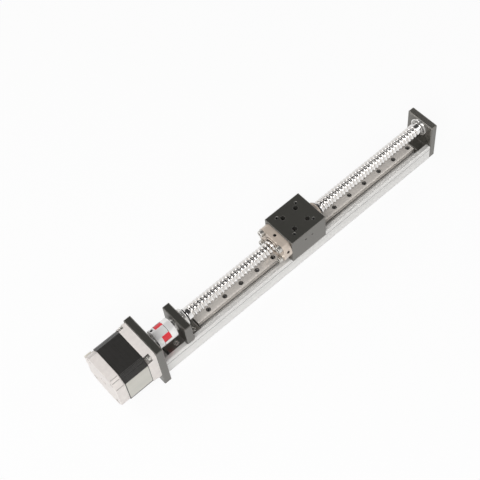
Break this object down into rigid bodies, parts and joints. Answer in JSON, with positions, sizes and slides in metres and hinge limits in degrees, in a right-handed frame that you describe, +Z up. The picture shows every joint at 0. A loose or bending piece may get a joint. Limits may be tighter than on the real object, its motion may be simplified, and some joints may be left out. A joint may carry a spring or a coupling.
{
  "type": "ball screw linear module",
  "caption": "Motor-driven linear axis: a ball screw moves a slider block along a profile rail in a channel base.",
  "frame": {"origin": "centre of the flat underside of the channel base", "axes": "+X along the screw away from the motor, +Y across the base, +Z up"},
  "size_m": [0.5009, 0.0632, 0.0753],
  "materials": {
    "clear_anodised": "satin clear anodised extrusion",
    "black_anodised": "matte black anodised, milled",
    "rail_steel": "ground hardened steel",
    "carriage_steel": "ground steel",
    "carriage_plastic": "moulded plastic",
    "seal_rubber": "black rubber",
    "ground_steel": "polished ground steel",
    "bearing_steel": "ground bearing steel",
    "ball_steel": "polished steel balls",
    "black_screws": "black oxide steel",
    "zinc_screws": "zinc-plated steel",
    "nut_steel": "ground steel, warm tone",
    "coupling_aluminium": "polished aluminium",
    "spider_red": "red polyurethane",
    "motor_cast": "die-cast, satin",
    "lamination_steel": "black painted laminations",
    "rotor_steel": "stacked steel",
    "copper": "enamelled copper wire",
    "connector_plastic": "natural nylon"
  },
  "bodies": {
    "base": {"base_extrusion": "clear_anodised", "guide_rail": "rail_steel", "rail_screws": "black_screws", "motor_plate": "black_anodised", "motor_plate_screws": "black_screws", "bearing_plate": "black_anodised", "bearing_plate_screws": "black_screws", "bearing_collar": "bearing_steel", "fixed_bearing_outer": "bearing_steel", "end_plate": "black_anodised", "end_plate_screws": "black_screws", "support_bearing_outer": "bearing_steel", "motor_front_bell": "motor_cast", "motor_laminations": "lamination_steel", "motor_windings": "copper", "motor_rear_bell": "motor_cast", "motor_through_bolts": "zinc_screws", "motor_mount_bolts": "black_screws", "motor_bearing_outer": "bearing_steel", "motor_connector": "connector_plastic"},
    "screw": {"ball_screw": "ground_steel", "fixed_bearing_inner": "bearing_steel", "fixed_bearing_balls": "ball_steel", "bearing_spacer": "black_screws", "screw_lock_nut": "bearing_steel", "support_bearing_inner": "bearing_steel", "support_bearing_balls": "ball_steel", "screw_circlip": "black_screws", "coupling_hub_screw": "coupling_aluminium", "coupling_spider": "spider_red", "coupling_hub_motor": "coupling_aluminium", "coupling_set_screws": "black_screws", "motor_shaft": "ground_steel", "motor_rotor": "rotor_steel", "motor_bearing_inner": "bearing_steel", "motor_bearing_balls": "ball_steel"},
    "carriage": {"slider_block": "black_anodised", "rail_carriage": "carriage_steel", "carriage_end_caps": "carriage_plastic", "carriage_seals": "seal_rubber", "carriage_screws": "black_screws", "ball_nut": "nut_steel", "nut_screws": "zinc_screws", "nut_wipers": "seal_rubber"}
  },
  "joints": [
    {"name": "screw_spin", "type": "hinge", "parent": "base", "child": "screw", "pos_m": [0, 0, 0.047], "axis": [1, 0, 0], "range_deg": [-11881, 8785]},
    {"name": "carriage_slide", "type": "slide", "parent": "base", "child": "carriage", "axis": [1, 0, 0], "range_m": [-0.122, 0.165]}
  ],
  "couplings": [
    {"joint": "screw_spin", "follows": "carriage_slide", "rad_per_m": -1256.6}
  ]
}
